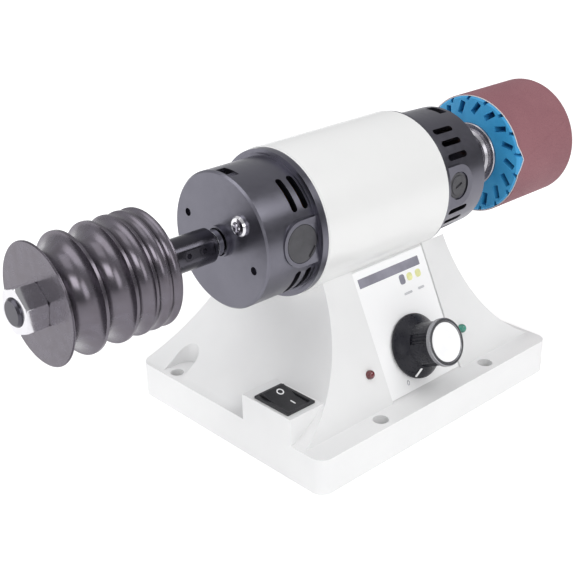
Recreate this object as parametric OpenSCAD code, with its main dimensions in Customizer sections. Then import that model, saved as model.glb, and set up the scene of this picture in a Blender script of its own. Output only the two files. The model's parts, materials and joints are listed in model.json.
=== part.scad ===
// Double-ended bench finishing machine, in millimetres.  One motor spindle carries a grooved
// burnishing drum at its left end and a rubber-backed sanding sleeve at its right end.
// X runs along the spindle towards the sanding sleeve, -Y is the control side, +Z is up.
// The origin is the centre of the base's underside.

/* [Base] */
// Length of the base slab along the spindle
base_len = 222; // [220:1:240]
// Depth of the base slab, front to back
base_dep = 174.5; // [172:0.5:190]
// Height of the base slab
base_h = 23.9; // [22:0.1:26]
// Radius of the slab's upright corners
corner_r = 8; // [5:0.5:12]
// Wall of the hollow casting
wall = 5; // [4:0.5:6]
// Distance from the spindle to the foot of the pedestal's front
foot_y = 71.2; // [70:0.1:73]
// Lean of the pedestal's front, from upright
slope = 25.5; // [24:0.1:27]
// Lean of the pedestal's back, from upright
back_slope = 29.5; // [28:0.5:31]
// Radius of the concave ends of the pedestal
flare_r = 92.8; // [90:0.1:95]

/* [Motor] */
// Height of the spindle axis
axis_z = 135.5; // [134:0.1:137]
// Radius of the painted motor barrel
barrel_r = 47; // [46.5:0.1:47.4]
// Left end of the barrel
barrel_x0 = -64; // [-64.5:0.1:-63.5]
// Length of the barrel
barrel_len = 109; // [108.5:0.1:109.5]
// Radius of the left bell
left_bell_r = 42; // [41.6:0.1:42.6]
// Radius of the right bell at its outer face
bell_r = 40.6; // [40:0.1:41.2]
// Radius of the motor shaft
shaft_r = 6; // [5.5:0.1:6.5]
// Angle by which the motor is turned in its saddle
clock = 3.5; // [0:0.5:6]

/* [Burnishing drum] */
// Radius of the drum at its ridges
drum_r = 34.3; // [33:0.1:36]
// Inner face of the drum
drum_x1 = -161.3; // [-164:0.1:-161]
// Length of the drum
drum_len = 68.9; // [68.5:0.1:72]
// Radius of the threaded stud that carries the drum
stud_r = 8; // [7.5:0.1:8.5]

/* [Sanding sleeve] */
// Inner face of the rubber wheel
wheel_x0 = 125.6; // [125:0.1:128]
// Length of the rubber wheel
wheel_len = 65.4; // [60:0.1:66]
// Radius of the rubber wheel, which is the bore of the sleeve
wheel_r = 41.7; // [40:0.1:43]
// Thickness of the abrasive sleeve
sleeve_t = 0.9; // [0.6:0.1:1.2]
// Number of slots in the rubber wheel
wheel_slots = 17; // [12:1:18]

/* [Controls] */
// Place of the speed knob along the panel
knob_x = 1; // [0:0.5:3]
// Height of the knob up the sloping panel
knob_u = 27; // [26:0.5:28]
// Radius of the knob's skirt
skirt_r = 21; // [18:0.5:22]
// Middle of the switch along X
switch_x = -98; // [-98.5:0.1:-97.5]
// Middle of the switch along Y
switch_y = -42.5; // [-43:0.1:-42]

/* [Hidden] */
$fn = 72;
slack = 0.05;         // radial clearance of a running fit
through = 1;          // overshoot of a cut
open_cut = 20;        // length of a cut that ends in the open

// Pedestal
flare_cx = 149.5;
flare_cz = 107;
pedestal_top = 118;
front_wall = 6;
back_foot = base_dep / 2 - 0.3;
cavity = [180, 138];
cavity_y = 6.5;
rim_step = [196, 150, 2];
bench_hole = [51.5, 78.4];
bench_hole_r = 5;
pocket = [95.5, 56.7];
pocket_r = 9;
pocket_run = 20;
pocket_wall = 4;
end_hole = [103.5, 56.7];
end_hole_r = 4.5;

// Bottom cover, its countersunk screws and its cooling slots
cover_edge = 0.6;
cover_screw = [94, 69];
cover_screw_r = 1.6;
cover_head_r = 3.3;
cover_screw_len = 12;
vent = [22, 3];
vent_pitch = 9;
vent_y = 40;

// Switch block on the left end
block_y = [-61.3, -18.5];
block_x1 = -74;
block_top = 41.5;
block_floor = 10;
block_side = 3.5;
block_room = 40;

// Sloping control panel, measured across, up the slope, and out from the casting
panel_x = [-32, 35];
panel_u = [1.2, 85.5];
recess_h = 1.8;
plate_t = 1;
plate_h = plate_t - recess_h;
plate_edge = 0.6;
led_u = 23.5;
led_x = [-43.5, 46.5];
led_r = 3;
led_rim = 0.9;
led_proud = 0.6;

// Rocker switch
bezel = [22.3, 29.8, 1.8];
switch_hole = [19.2, 27.2];
switch_deep = 20;
rocker_w = 17;
rocker_r = 12.8;
rocker_half = 11;
facet = 8;
rocker_mid = 4.4;
rocker_reach = 14;
terminal = [0.8, 6.3, 7];
pivot_z = block_top - 3.4;

// Speed control: potentiometer, knob and its pointer
pot_r = 12;
pot_h = 11;
bush_r = 4.5;
bush_h = 3.4;
pot_shaft_r = 3;
pot_shaft_len = 32;
pot_nut = [14, 2.4];
grip_r = 13.9;
knob_top = 24.8;
knob_bore_h = 18;
flute_r = 1.1;
flute_h = 10;
bezel_r = 15.3;
bezel_h = 3;
cap_r = [11.4, 12.6];
cap_h = 0.5;
pointer_angle = -121;
pointer = [7, 1.5, 1.2];
pointer_lean = 43.7;

// Speed board on its standoffs
board = [84, 52, 1.6];
board_z = 10;
board_hole = [37, 21];
standoff_r = 3.2;
capacitor = [8, 25];
heatsink = [34, 24, 3];
fin = [1.6, 17, 5];

// Cable gland through the back of the pedestal
gland_x = 60;
gland_u = 26;
gland_r = 6.5;
gland_bore_r = 3.2;
gland_af = 18;
gland_flange = 5;
gland_top = 9;
gland_nut_h = 4;

// Bells: faces, walls and the pads on their sides
barrel_x1 = barrel_x0 + barrel_len;
bell_x0 = -107.6;
bell_x1 = 90.2;
bell_wall = 2.6;
end_wall = 4;
spigot = 6;
barrel_wall = 2.5;
barrel_screw = [2.5, 8, 4];
barrel_screw_x = [-38, 34];
bell_flange = [barrel_r - 0.8, 4.6];
bell_step = [1.6, 1.2];
bell_chamfer = 1.2;
pad_r = 14;
pad_t = 5;
pad_out = 41.2;
left_pad_out = left_bell_r + 0.6;
pad_x = [-81.5, 60];
plug_r = 11.25;
plug_gap = 0.35;
plug_t = 2.1;
right_bell_r = 42.6;
seat_r = 16;
seat_wall = 3.5;
shaft_hole_r = shaft_r + 2.6;
vent_slot_w = 4.4;
left_slot = [22.4, 41];
left_slot_x = [-81.2, -72.8];
right_slot = [19, 64.7];
right_slot_angles = [-53, -39.5, -26, 26, 39.5, 53];
bearing_w = 10;
race_r = [9.4, 13.4];
bearing_x = [bell_x0 + end_wall + 0.2, bell_x1 - end_wall - 0.2 - bearing_w];
ball_pitch = 11.4;
ball_r = 2.3;
balls = 8;
tie_r = 35.6;
tie_bolt_r = 2;
tie_angle = 83;
tie_x = [-103.4, 83];
tie_nut = [7, 3.6];
tie_lug_t = 4;
left_window = [-105.6, -98.9];
right_window = [79, 86];
window_w = 13;
face_holes_r = 31;
face_hole_r = 2.5;
face_hole_deep = 3.2;
face_hole_angle = 160.5;
face_screw = [37.5, 23.8];
face_head = [6.2, 3];

// Brush gear: the holder, brush, spring and screw cap at each side
holder_r = 6.6;
holder_in = 19;
holder_out = 38;
brush = [8, 5, 15];
brush_gap = 0.2;
spring = [1.9, 0.3, 7.8];
cap_flange_r = 8.6;
cap_flange = 0.7;
cap_top = 1.3;

// Rotor
core_x = [-42, 26];
core_r = 32.8;
magnet_r = 33.8;
magnet_gap = 30;
magnet_over = 4;
poles = 12;
coil_pitch = 25.4;
coil_r = 4.4;
head_x = 12;
head_r = [9, 31];
commutator_x = [51, 69];
commutator_r = 15;
riser = [2.4, 3];
fan_x = [-88, -74];
fan_r = 31;
fan_hub_r = 11;
blade_t = 1.6;
blades = 10;

// Left arbor
drum_x0 = drum_x1 - drum_len;
arbor_r = 10.5;
arbor_x1 = -114.5;
arbor_bevel = 3;
shaft_x = [-152, 113];
collar_r = 8;
flat_angle = 12;
flat = [26, 14, 9.75];
set_x = [-126.7, -137.8];
set_r = 3;
set_socket = [1.75, 2];
set_top = 10;
nut_af = 24;
nut_h = 13;
stud_x0 = -245;

// Right arbor, the wheel on it, and what holds the wheel
hub_x0 = 93;
hub_r = [11.6, 13.6];
hub_step = [111, 113];
right_set_x = [99, 107];
right_set_top = 11.2;
wheel_x1 = wheel_x0 + wheel_len;
inner_plate_r = 23;
inner_plate_t = 2;
flange_r = 19;
flange_x0 = wheel_x0 - 5.1;
flange_bevel = 1.5;
flange_cup = [14.2, 16.6, 2];
outer_t = 3.4;
core_wheel_r = 17.8;
spindle_r = 6;
spindle_x1 = wheel_x1 + 12;
wheel_nut_size = [19, 7.2];

// Notch in the sleeve's inner edge: its angle above the front, half its width and its depth
sleeve_x0 = wheel_x0 + 1;
notch = [1.5, 10.8, 5];
notch_side = notch[1] * (notch[2] + 1) / notch[2];

// Slots of the rubber wheel: radius of their middle, length, width and lean from the radius
face_slot = [34, 9.4, 4];
rim_slot = [40.6, 4.4, 2.2];
slot_lean = 31;
slot_phase = 0.736;

// Each groove of the drum: its middle from the outer face, its width and its depth
GROOVES = [
    [10.3, 18.6, 8.0],
    [29.9, 17.0, 7.2],
    [45.7, 11.0, 4.2],
    [56.5, 7.4, 2.4],
    [64.5, 6.0, 1.9]
];

// ---------- placing and shared shapes ----------

// Children's Z becomes X, on the spindle axis
module on_axis(x = 0) translate([x, 0, axis_z]) rotate([0, 90, 0]) children();

// Turns a profile drawn as (radius, x) about the spindle axis
module turned() on_axis() rotate_extrude() children();

// Rectangle of a turned profile
module band(r0, r1, x0, x1) translate([r0, x0]) square([r1 - r0, x1 - x0]);

// Faces outwards from the spindle at an angle above the front, at x and radius r
module radial(angle, x, r = 0)
    translate([0, 0, axis_z]) rotate([-(angle + clock), 0, 0])
        translate([x, -r, 0]) rotate([90, 0, 0]) children();

// X across, Y up the slope and Z out of the pedestal's back
module back_panel(x, u, h) translate([0, back_foot, base_h]) rotate([0, 0, 180])
    rotate([90 - back_slope, 0, 0]) translate([-x, u, h]) children();

// X across, Y up the slope and Z out of the control panel
module panel(x = 0, u = 0, h = 0)
    translate([0, -foot_y, base_h]) rotate([90 - slope, 0, 0]) translate([x, u, h]) children();

module at_knob(h = 0) panel(knob_x, knob_u, h) children();

module rounded_rect(l, w, r) {
    square([l - 2 * r, w], center = true);
    square([l, w - 2 * r], center = true);
    for (sx = [-1, 1], sy = [-1, 1]) translate([sx * (l / 2 - r), sy * (w / 2 - r)]) circle(r);
}

// Box centred in X and Y that rises from z = 0
module post(l, w, h) translate([-l / 2, -w / 2, 0]) cube([l, w, h]);

// Slot with round ends, as long as l overall
module slot(l, w, h) {
    post(l - w, w, h);
    for (side = [-1, 1]) translate([side * (l - w) / 2, 0, 0]) cylinder(h = h, r = w / 2);
}

// Hexagon nut blank with chamfered corners, af across its flats
module hex_blank(af, h) {
    corner = af / sqrt(3);
    trim = corner - af / 2;
    intersection() {
        cylinder(h = h, r = corner, $fn = 6);
        rotate_extrude() polygon([[0, 0], [corner - trim / 2, 0], [corner + 0.2, trim / 2],
            [corner + 0.2, h - trim / 2], [corner - trim / 2, h], [0, h]]);
    }
}

// ---------- base ----------

// Outline seen from the front, with concave ends
module front_outline(inset) difference() {
    translate([-base_len / 2, 0]) square([base_len, pedestal_top]);
    for (side = [-1, 1]) translate([side * flare_cx, flare_cz]) circle(flare_r + inset, $fn = 180);
}

// Outline seen from the side, leaning in on both faces
module side_outline(inset, z0) {
    low = foot_y - inset / cos(slope) - (z0 - base_h) * tan(slope);
    high = foot_y - inset / cos(slope) - (pedestal_top - base_h) * tan(slope);
    back_low = back_foot - inset / cos(back_slope) - (z0 - base_h) * tan(back_slope);
    back_high = back_foot - inset / cos(back_slope) - (pedestal_top - base_h) * tan(back_slope);
    polygon([[-low, z0], [back_low, z0], [back_high, pedestal_top], [-high, pedestal_top]]);
}

module pedestal(inset_x, inset_y, z0) intersection() {
    rotate([90, 0, 0]) linear_extrude(base_dep, center = true) front_outline(inset_x);
    rotate([90, 0, 90]) linear_extrude(base_len, center = true) side_outline(inset_y, z0);
}

module switch_block() {
    depth = block_y[1] - block_y[0];
    translate([-base_len / 2, block_y[0], 0]) cube([block_x1 + base_len / 2, depth, block_top]);
}

module housing_cavity() {
    difference() {
        intersection() {
            pedestal(wall, front_wall, -through);
            translate([0, cavity_y, -through]) post(cavity[0], cavity[1], pedestal_top);
        }
        on_axis(-base_len / 2) cylinder(h = base_len, r = barrel_r + wall);
        pocket_guard();
    }
    translate([-base_len / 2 + block_side, block_y[0] + wall, block_floor])
        cube([block_room, block_y[1] - block_y[0] - 2 * wall, block_top - block_floor - wall]);
    translate([0, cavity_y, -through]) post(rim_step[0], rim_step[1], rim_step[2] + through);
}

// Solid metal left around the two end pockets
module pocket_guard() for (side = [-1, 1])
    translate([side * pocket[0], pocket[1], base_h - wall])
        cylinder(h = pedestal_top, r = pocket_r + pocket_wall);

module panel_recess() intersection() {
    panel(panel_x[0], -open_cut, -recess_h) cube([panel_x[1] - panel_x[0], pedestal_top, open_cut]);
    translate([-base_len / 2, -base_dep, base_h]) cube([base_len, base_dep, pedestal_top]);
}

module base_housing() color([0.90, 0.91, 0.91]) difference() {
    union() {
        linear_extrude(base_h) rounded_rect(base_len, base_dep, corner_r);
        intersection() {
            pedestal(0, 0, base_h - 2);
            linear_extrude(pedestal_top) rounded_rect(base_len, base_dep, corner_r);
        }
        switch_block();
    }
    housing_cavity();
    on_axis(-base_len / 2) cylinder(h = base_len, r = barrel_r);
    panel_recess();
    for (side = [-1, 1]) {
        translate([side * bench_hole[0], -bench_hole[1], -through])
            cylinder(h = base_h + 2 * through, r = bench_hole_r);
        translate([side * pocket[0], pocket[1], base_h]) cylinder(h = pedestal_top, r = pocket_r);
        translate([side * (pocket[0] + pocket_run / 2), pocket[1], base_h])
            post(pocket_run, 2 * pocket_r, pedestal_top);
        translate([side * end_hole[0], end_hole[1], -through])
            cylinder(h = base_h + 2 * through, r = end_hole_r);
    }
    translate([switch_x, switch_y, block_top - wall - through])
        post(switch_hole[0], switch_hole[1], wall + 2 * through);
    at_knob(-front_wall - through) cylinder(h = open_cut, r = bush_r);
    for (x = led_x) panel(x, led_u, -front_wall - through) cylinder(h = open_cut, r = led_r);
    gland_place(-front_wall - through) cylinder(h = open_cut, r = gland_r);
    cover_screw_places() cylinder(h = cover_screw_len + through, r = cover_screw_r);
    barrel_screw_places(barrel_r - through) cylinder(h = wall + 4 * through, r = barrel_screw[0]);
}

module cover_screw_places() for (sx = [-1, 1], sy = [-1, 1])
    translate([sx * cover_screw[0], cavity_y + sy * cover_screw[1], 0]) children();

module bottom_cover() color([0.62, 0.64, 0.66]) difference() {
    translate([0, cavity_y, 0]) post(rim_step[0] - cover_edge, rim_step[1] - cover_edge, rim_step[2]);
    cover_screw_places() countersink(rim_step[2]);
    for (i = [-4:4]) translate([i * vent_pitch, vent_y, -through])
        rotate([0, 0, 90]) slot(vent[0], vent[1], rim_step[2] + 2 * through);
}

// Seat for a cover screw's cone, and its hole
module countersink(h) {
    widen = (cover_head_r - cover_screw_r) / h * through;
    translate([0, 0, -through]) cylinder(h = h + through, r1 = cover_head_r + widen, r2 = cover_screw_r);
    cylinder(h = h + through, r = cover_screw_r);
}

module cover_screws() color([0.75, 0.76, 0.78]) cover_screw_places() difference() {
    union() {
        cylinder(h = rim_step[2], r1 = cover_head_r, r2 = cover_screw_r);
        cylinder(h = cover_screw_len, r = cover_screw_r);
    }
    cross_recess(3.6, 0.8, 0.9);
}

// Cross for a driver, as long as l, in a screw's head that faces -Z
module cross_recess(l, w, deep) for (turn = [0, 90])
    rotate([0, 0, turn]) translate([0, 0, -through]) post(l, w, through + deep);

// ---------- controls ----------

module control_panel() color([0.97, 0.97, 0.97]) difference() {
    panel(panel_x[0] + plate_edge, panel_u[0], -recess_h)
        cube([panel_x[1] - panel_x[0] - 2 * plate_edge, panel_u[1] - panel_u[0], plate_t]);
    at_knob(-recess_h - through) cylinder(h = plate_t + 2 * through, r = bush_r);
}

// Domed lens with a flange behind the wall
module led() {
    translate([0, 0, -front_wall]) cylinder(h = front_wall + led_proud, r = led_r);
    translate([0, 0, -front_wall - led_rim]) cylinder(h = led_rim, r = led_r + led_rim);
    translate([0, 0, led_proud]) intersection() {
        sphere(led_r);
        cylinder(h = 2 * led_r, r = led_r);
    }
}

module red_led() color([0.55, 0.05, 0.08]) panel(led_x[0], led_u) led();

module green_led() color([0.10, 0.45, 0.30]) panel(led_x[1], led_u) led();

module switch_frame() color([0.10, 0.10, 0.11]) translate([switch_x, switch_y, 0]) difference() {
    union() {
        translate([0, 0, block_top]) post(bezel[0], bezel[1], bezel[2]);
        translate([0, 0, block_top - switch_deep])
            post(switch_hole[0] - 0.2, switch_hole[1] - 0.2, switch_deep);
    }
    translate([0, 0, pivot_z - rocker_r]) post(rocker_w + 0.6, 2 * rocker_r + 0.4, open_cut * 2);
}

// Side outline of the rocker about its pivot, level: a shallow V on round ends
module rocker_outline() intersection() {
    circle(rocker_r, $fn = 90);
    rise = rocker_mid + rocker_reach * tan(facet);
    polygon([[-rocker_reach, rise], [0, rocker_mid], [rocker_reach, rise], [rocker_reach, 0],
        [5, -4], [-5, -4], [-rocker_reach, 0]]);
}

module switch_rocker() color([0.08, 0.08, 0.09])
    translate([switch_x, switch_y, pivot_z]) rotate([rocker_half, 0, 0])
        rotate([90, 0, 90]) linear_extrude(rocker_w, center = true) rocker_outline();

module switch_terminals() color([0.80, 0.66, 0.30])
    for (sx = [-5, 5], sy = [-7, 7])
        translate([switch_x + sx, switch_y + sy, block_top - switch_deep - terminal[2]])
            post(terminal[0], terminal[1], terminal[2]);

module speed_potentiometer() color([0.45, 0.46, 0.48]) difference() {
    union() {
        at_knob(-front_wall - pot_h) cylinder(h = pot_h, r = pot_r);
        at_knob(-front_wall) cylinder(h = front_wall + bush_h, r = bush_r);
    }
    at_knob(-front_wall - pot_h + 2) cylinder(h = pot_shaft_len, r = pot_shaft_r + slack);
}

module potentiometer_nut() color("silver") difference() {
    at_knob(plate_h) hex_blank(pot_nut[0], pot_nut[1]);
    at_knob(plate_h - through) cylinder(h = pot_nut[1] + 2 * through, r = bush_r);
}

module potentiometer_shaft() color([0.70, 0.71, 0.72])
    at_knob(-front_wall - pot_h + 2.2) cylinder(h = pot_shaft_len, r = pot_shaft_r);

// Profile of the knob as (radius, height): a sloping skirt under a tall grip
module knob_profile() polygon([
    [0, 3.8], [17.5, 3.8], [17.5, 0.4], [skirt_r - 0.4, 0.4], [skirt_r, 0.8],
    [skirt_r, 2.2], [skirt_r - 1, 3.4], [15.6, 7.6], [grip_r + 0.4, 9.2], [grip_r, knob_top], [0, knob_top]
]);

module pointer_bar() at_knob() rotate([0, 0, pointer_angle])
    translate([17.6, 0, 5.3]) rotate([0, pointer_lean, 0]) cube(pointer, center = true);

module speed_knob() color([0.07, 0.07, 0.08]) difference() {
    at_knob() rotate_extrude() knob_profile();
    at_knob() cylinder(h = knob_bore_h, r = pot_shaft_r);
    at_knob(flute_h) for (side = [0:90:270], groove = [-9, 0, 9])
        rotate([0, 0, pointer_angle + side + groove]) translate([grip_r + 0.5, 0, 0])
            cylinder(h = knob_top, r = flute_r);
    pointer_bar();
}

module knob_pointer() color("white") pointer_bar();

module knob_bezel() color([0.80, 0.81, 0.83]) at_knob(knob_top) rotate_extrude()
    polygon([[cap_r[0], 0], [bezel_r - 0.5, 0], [bezel_r, 0.5], [bezel_r, bezel_h],
        [bezel_r - 0.6, bezel_h + 0.5], [13.3, bezel_h + 0.5], [13, bezel_h], [cap_r[0], bezel_h]]);

module knob_cap() color([0.92, 0.92, 0.93]) {
    at_knob(knob_top) cylinder(h = bezel_h, r = cap_r[0]);
    at_knob(knob_top + bezel_h) cylinder(h = cap_h, r1 = cap_r[1], r2 = cap_r[1] - 0.4);
}

// ---------- electrics inside the base ----------

module board_corners(z) for (sx = [-1, 1], sy = [-1, 1])
    translate([sx * board_hole[0], sy * board_hole[1], z]) children();

module speed_board() color([0.10, 0.38, 0.20]) difference() {
    translate([0, 0, board_z]) post(board[0], board[1], board[2]);
    board_corners(board_z - through) cylinder(h = board[2] + 2 * through, r = standoff_r / 2);
}

module board_standoffs() color([0.85, 0.85, 0.80]) board_corners(rim_step[2]) {
    cylinder(h = board_z - rim_step[2], r = standoff_r);
    cylinder(h = board_z - rim_step[2] + board[2] + 1, r = standoff_r / 2);
}

module board_capacitor() color([0.15, 0.20, 0.40])
    translate([-24, -8, board_z + board[2]]) cylinder(h = capacitor[1], r = capacitor[0]);

module board_heatsink() color([0.70, 0.71, 0.72]) translate([20, 4, board_z + board[2]]) {
    post(heatsink[0], heatsink[1], heatsink[2]);
    for (i = [-3:3]) translate([i * fin[2], 0, heatsink[2]]) post(fin[0], heatsink[1], fin[1]);
}

module gland_place(h = 0) back_panel(gland_x, gland_u, h) children();

module cable_gland() color([0.13, 0.13, 0.14]) difference() {
    union() {
        gland_place(-front_wall - 7) cylinder(h = front_wall + 7, r = gland_r);
        gland_place() hex_blank(gland_af, gland_flange);
        gland_place(gland_flange) rotate_extrude()
            polygon([[0, 0], [8.2, 0], [8.2, 5], [gland_r, gland_top], [0, gland_top]]);
    }
    gland_place(-open_cut) cylinder(h = 2.5 * open_cut, r = gland_bore_r);
}

module gland_locknut() color([0.13, 0.13, 0.14]) difference() {
    gland_place(-front_wall - gland_nut_h) hex_blank(gland_af, gland_nut_h);
    gland_place(-open_cut) cylinder(h = open_cut, r = gland_r);
}

// ---------- motor shell ----------

module motor_barrel() color([0.93, 0.93, 0.92]) difference() {
    turned() difference() {
        band(barrel_r - barrel_wall, barrel_r, barrel_x0, barrel_x1);
        for (x = [barrel_x0, barrel_x1]) translate([barrel_r, x]) circle(0.6);
    }
    barrel_screw_places(barrel_r - barrel_wall - through)
        cylinder(h = barrel_wall + 4 * through, r = barrel_screw[0]);
}

// The saddle's screws point from inside the base up into the barrel
module barrel_screw_places(r) for (x = barrel_screw_x, angle = [-75, -105])
    translate([x, 0, axis_z]) rotate([-angle, 0, 0]) translate([0, -r, 0]) rotate([90, 0, 0]) children();

module barrel_screws() color("silver") {
    barrel_screw_places(barrel_r - barrel_wall) cylinder(h = barrel_wall + wall, r = barrel_screw[0]);
    barrel_screw_places(barrel_r + wall) hex_blank(barrel_screw[1], barrel_screw[2]);
}

// Two arcs that leave room for the tie bolts at the top and the bottom
module field_magnets() color([0.25, 0.25, 0.26]) on_axis(core_x[0] - magnet_over)
    linear_extrude(core_x[1] - core_x[0] + 2 * magnet_over) difference() {
        circle(barrel_r - barrel_wall);
        circle(magnet_r);
        square([3 * barrel_r, magnet_gap], center = true);
    }

// Round hollow worked between a bell and its flange
module left_bell_profile() {
    difference() {
        union() {
            polygon([[0, bell_x0], [left_bell_r - bell_chamfer, bell_x0],
                [left_bell_r, bell_x0 + bell_chamfer], [left_bell_r, barrel_x0], [0, barrel_x0]]);
            band(0, left_bell_r + bell_step[0], barrel_x0 - bell_flange[1] - bell_step[1], barrel_x0);
            band(0, bell_flange[0], barrel_x0 - bell_flange[1], barrel_x0);
            band(0, barrel_r - barrel_wall, barrel_x0 - 1, barrel_x0 + spigot);
        }
        band(0, bell_r - bell_wall, bell_x0 + end_wall, barrel_x0 + spigot + 1);
    }
}

module right_bell_profile() {
    difference() {
        union() {
            polygon([[0, barrel_x1], [right_bell_r, barrel_x1], [bell_r + 0.6, bell_x1 - 1.2],
                [bell_r - 0.6, bell_x1], [0, bell_x1]]);
            band(0, barrel_r - 0.6, barrel_x1, barrel_x1 + 2.4);
            band(0, barrel_r - barrel_wall, barrel_x1 - spigot, barrel_x1 + 1);
        }
        band(0, bell_r - bell_wall, barrel_x1 - spigot - 1, bell_x1 - end_wall);
    }
}

// Pad on the side of a bell, running to the barrel; to_x is the direction of the barrel
module pad_block(x, to_x, r) for (angle = [0, 180]) {
    radial(angle, x, r - pad_t) cylinder(h = pad_t, r = pad_r);
    radial(angle, (x + to_x) / 2, r - pad_t) post(abs(to_x - x), 2 * pad_r, pad_t);
}

// Window with the tie bolt's end in it, cut through the side of a bell
module windows(span) for (turn = [0, 180])
    radial(tie_angle + turn, (span[0] + span[1]) / 2, 31) post(span[1] - span[0], window_w, 14);

module tie_lug(x, w) for (turn = [0, 180]) radial(tie_angle + turn, x + w / 2, 31.5) post(w, 11, 7);

// Along X from x, on the axes of the two tie bolts
module at_ties(x) for (turn = [0, 180])
    translate([0, 0, axis_z]) rotate([-(tie_angle + turn + clock), 0, 0])
        translate([x, -tie_r, 0]) rotate([0, 90, 0]) children();

module tie_rods() at_ties(tie_x[0]) cylinder(h = tie_x[1] - tie_x[0], r = tie_bolt_r);

module left_bell() color([0.16, 0.16, 0.17]) difference() {
    union() {
        turned() left_bell_profile();
        turned() band(seat_r, seat_r + seat_wall, bell_x0 + end_wall - 1,
            bell_x0 + end_wall + bearing_w + 0.4);
        difference() {
            pad_block(pad_x[0], barrel_x0 - 2, left_pad_out);
            turned() band(0, bell_r - bell_wall, bell_x0, barrel_x0 + 1);
        }
        tie_lug(left_window[1], tie_lug_t);
        turned() band(shaft_hole_r, shaft_hole_r + 1, bell_x0 - 2.4, bell_x0 + 1);
    }
    turned() band(0, shaft_hole_r, bell_x0 - 5, bell_x0 + end_wall + 1);
    for (turn = [0, 180]) radial(turn, pad_x[0], left_pad_out - plug_t)
        cylinder(h = pad_t, r = plug_r + plug_gap);
    for (turn = [0, 180], side = [-1, 1], x = left_slot_x)
        radial(turn + side * left_slot[1], x, 30) rotate([0, 0, 90]) slot(left_slot[0], vent_slot_w, 16);
    windows(left_window);
    tie_rods();
    for (turn = [0, 180]) at_left_face(face_hole_angle + turn, face_holes_r, -through)
        cylinder(h = through + face_hole_deep, r = face_hole_r);
    at_face_screw() cylinder(h = open_cut, r = face_hole_r);
}

// Into the left bell's face, at an angle above the front, radius r and depth x
module at_left_face(angle, r, x = 0) translate([bell_x0 + x, 0, axis_z]) rotate([-angle, 0, 0])
    translate([0, -r, 0]) rotate([0, 90, 0]) children();

module at_face_screw() at_left_face(face_screw[0], face_screw[1], -face_head[1]) children();

module right_bell() color([0.16, 0.16, 0.17]) difference() {
    union() {
        turned() right_bell_profile();
        turned() band(seat_r, seat_r + seat_wall, bell_x1 - end_wall - bearing_w - 0.4,
            bell_x1 - end_wall + 1);
        difference() {
            pad_block(pad_x[1], barrel_x1 + 1, pad_out + 1.4);
            turned() band(0, bell_r - bell_wall, barrel_x1 - 1, bell_x1);
        }
        tie_lug(right_window[0] - tie_lug_t, tie_lug_t);
    }
    turned() band(0, shaft_hole_r, bell_x1 - end_wall - 1, bell_x1 + 1);
    for (turn = [0, 180]) {
        radial(turn, pad_x[1], pad_out) cylinder(h = pad_t, r = 9.4);
        radial(turn, pad_x[1], 30) cylinder(h = 15, r = holder_r);
    }
    for (turn = [0, 180], side = right_slot_angles)
        radial(turn + side, right_slot[1], 30) slot(right_slot[0], vent_slot_w, 16);
    windows(right_window);
    tie_rods();
}

module left_bell_plugs() color([0.20, 0.20, 0.21]) for (turn = [0, 180]) difference() {
    radial(turn, pad_x[0], left_pad_out - plug_t) cylinder(h = plug_t, r = plug_r);
    radial(turn, pad_x[0], left_pad_out - 0.9) rotate([0, 0, -42]) translate([9.4, 0, 0]) post(1.8, 7.5, 3);
}

module bell_face_screw() color("silver") difference() {
    at_face_screw() {
        cylinder(h = 14, r = face_hole_r);
        rotate_extrude() polygon([[0, 0.4], [3, 0], [face_head[0] - 1, 0.5], [face_head[0], 1.8],
            [face_head[0], face_head[1]], [0, face_head[1]]]);
    }
    at_face_screw() rotate([0, 0, 45]) cross_recess(6, 1.2, 1.6);
}

module tie_bolts() color([0.60, 0.61, 0.63]) {
    tie_rods();
    at_ties(right_window[0]) hex_blank(tie_nut[0], tie_nut[1]);
}

module tie_nuts() color([0.60, 0.61, 0.63]) difference() {
    at_ties(left_window[1] - tie_nut[1]) hex_blank(tie_nut[0], tie_nut[1]);
    tie_rods();
}

// ---------- bearings ----------

module bearing_outer(x) color([0.72, 0.73, 0.75]) turned() difference() {
    band(race_r[1], seat_r, x, x + bearing_w);
    translate([ball_pitch, x + bearing_w / 2]) circle(ball_r + slack);
}

module bearing_inner(x) color([0.72, 0.73, 0.75]) turned() difference() {
    band(shaft_r, race_r[0], x, x + bearing_w);
    translate([ball_pitch, x + bearing_w / 2]) circle(ball_r);
}

module left_bearing_outer() bearing_outer(bearing_x[0]);

module right_bearing_outer() bearing_outer(bearing_x[1]);

module left_bearing_inner() bearing_inner(bearing_x[0]);

module right_bearing_inner() bearing_inner(bearing_x[1]);

module bearing_balls() color([0.82, 0.83, 0.85]) for (x = bearing_x, i = [0:balls - 1])
    on_axis(x + bearing_w / 2) rotate([0, 0, i * 360 / balls]) translate([ball_pitch, 0, 0])
        sphere(ball_r, $fn = 32);

// ---------- brush gear ----------

module brush_holders() color([0.78, 0.62, 0.30]) for (turn = [0, 180]) difference() {
    radial(turn, pad_x[1], holder_in) cylinder(h = holder_out - holder_in, r = holder_r);
    radial(turn, pad_x[1], holder_in - 1) post(brush[0] + 2 * slack, brush[1] + 2 * slack, 30);
}

module carbon_brushes() color([0.12, 0.12, 0.12]) for (turn = [0, 180])
    radial(turn, pad_x[1], commutator_r + brush_gap) post(brush[0], brush[1], brush[2]);

// Ring of points of a round wire at turn fraction t of a coil
function coil_ring(t, turns, r, wire, height, sides) = [
    for (i = [0:sides - 1]) let (
        a = 360 * turns * t,
        b = 360 * i / sides,
        rr = r + wire * cos(b)
    ) [rr * cos(a), rr * sin(a), wire + (height - 2 * wire) * t + wire * sin(b)]
];

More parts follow.
